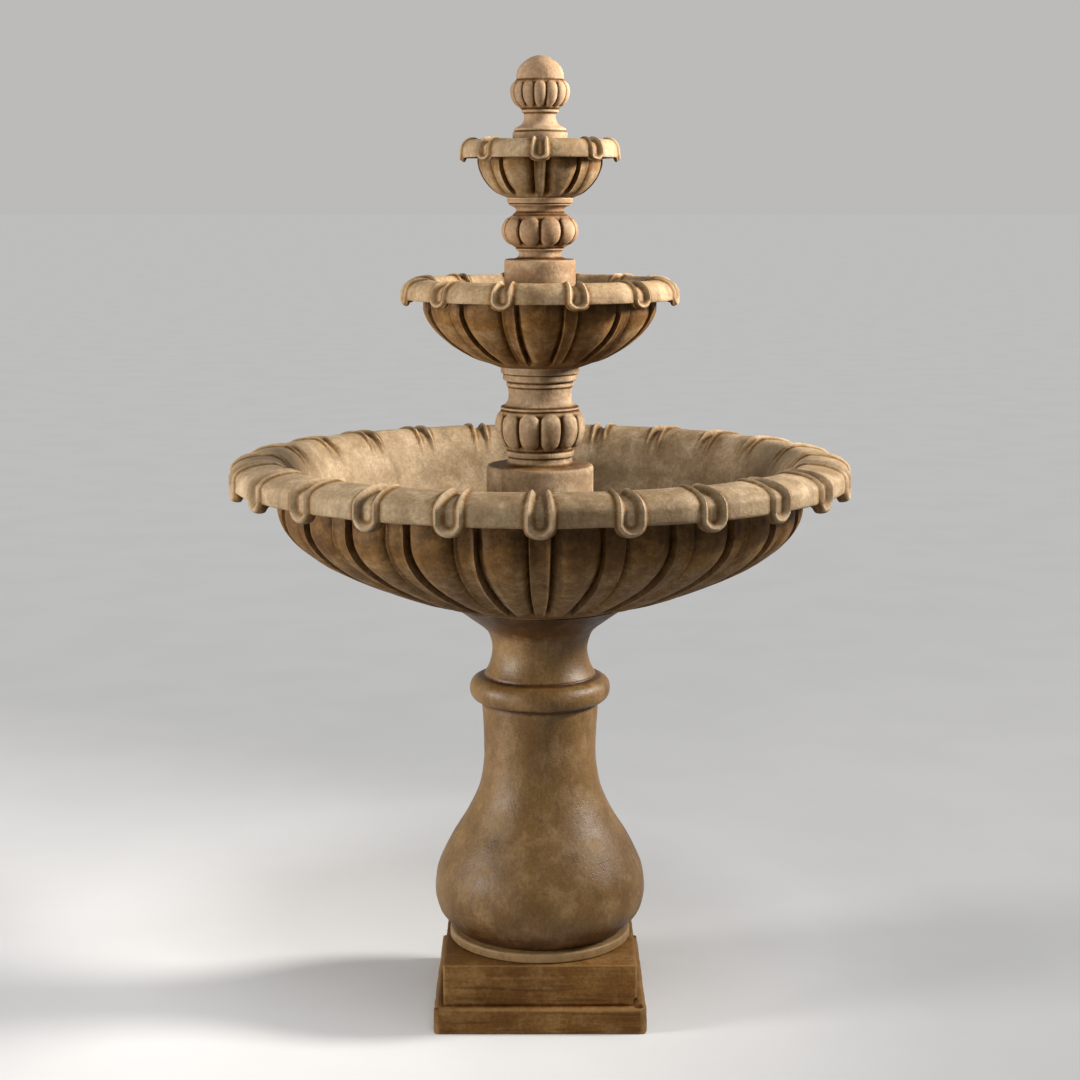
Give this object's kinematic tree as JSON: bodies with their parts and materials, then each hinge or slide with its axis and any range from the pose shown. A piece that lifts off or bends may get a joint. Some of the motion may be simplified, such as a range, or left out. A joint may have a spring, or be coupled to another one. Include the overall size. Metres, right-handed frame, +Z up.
{
  "type": "tiered water fountain",
  "caption": "Tiered cast-stone garden fountain: scalloped bowls with spouts on turned balusters, over a bulbous pedestal and square plinth, with an acorn finial and a pump inside.",
  "frame": {"origin": "centre of the plinth's bottom face", "axes": "+Z up the fountain's axis, -Y to the front, where a spout of the lower bowl faces, +X to the right seen from the front"},
  "size_m": [1.167, 1.167, 1.8],
  "materials": {
    "cast_stone": "matte, integrally coloured and washed",
    "dark_cast_stone": "matte, darker wash",
    "black_rubber": "matt",
    "pump_plastic": "fine texture",
    "dial_plastic": "fine texture",
    "impeller_plastic": "moulded",
    "ferrite": "pressed and ground",
    "white_ceramic": "ground",
    "clear_vinyl": "smooth",
    "copper": "drawn tube",
    "bright_steel": "rolled"
  },
  "bodies": {
    "base": {"plinth": "dark_cast_stone", "pedestal": "cast_stone", "lower_bowl": "cast_stone", "drain_stopper": "black_rubber", "pump_body": "pump_plastic", "pump_volute": "pump_plastic", "volute_seal": "black_rubber", "front_bushing": "black_rubber", "rear_bushing": "black_rubber", "hose_nipple": "pump_plastic", "hose_clamp": "bright_steel", "clamp_screw": "bright_steel", "supply_tube": "clear_vinyl", "outlet_pipe": "copper", "suction_foot_front_left": "black_rubber", "suction_foot_front_right": "black_rubber", "suction_foot_back_left": "black_rubber", "suction_foot_back_right": "black_rubber", "cord_gland": "black_rubber"},
    "rotor": {"rotor_magnet": "ferrite", "impeller": "impeller_plastic", "rotor_shaft": "white_ceramic"},
    "intake_cover": {"intake_cover": "pump_plastic"},
    "flow_dial": {"flow_dial": "dial_plastic"},
    "lower_baluster": {"lower_baluster": "cast_stone"},
    "middle_bowl": {"middle_bowl": "cast_stone", "middle_bowl_stopper": "black_rubber"},
    "upper_baluster": {"upper_baluster": "cast_stone"},
    "top_bowl": {"top_bowl": "cast_stone", "top_bowl_stopper": "black_rubber"},
    "finial": {"finial": "cast_stone"}
  },
  "joints": [
    {"name": "impeller_spin", "type": "hinge", "parent": "base", "child": "rotor", "pos_m": [0, 0, 0.8738], "axis": [0, 1, 0], "continuous": true},
    {"name": "intake_cover_pull", "type": "slide", "parent": "base", "child": "intake_cover", "axis": [0, -1, 0], "range_m": [0, 0.02]},
    {"name": "flow_dial_turn", "type": "hinge", "parent": "intake_cover", "child": "flow_dial", "pos_m": [0, -0.0443, 0.8738], "axis": [0, -1, 0], "range_deg": [0, 90]},
    {"name": "lower_baluster_lift", "type": "slide", "parent": "base", "child": "lower_baluster", "axis": [0, 0, 1], "range_m": [0, 0.25]},
    {"name": "middle_bowl_lift", "type": "slide", "parent": "lower_baluster", "child": "middle_bowl", "axis": [0, 0, 1], "range_m": [0, 0.12]},
    {"name": "upper_baluster_lift", "type": "slide", "parent": "middle_bowl", "child": "upper_baluster", "axis": [0, 0, 1], "range_m": [0, 0.18]},
    {"name": "top_bowl_lift", "type": "slide", "parent": "upper_baluster", "child": "top_bowl", "axis": [0, 0, 1], "range_m": [0, 0.12]},
    {"name": "finial_lift", "type": "slide", "parent": "top_bowl", "child": "finial", "axis": [0, 0, 1], "range_m": [0, 0.24]}
  ]
}
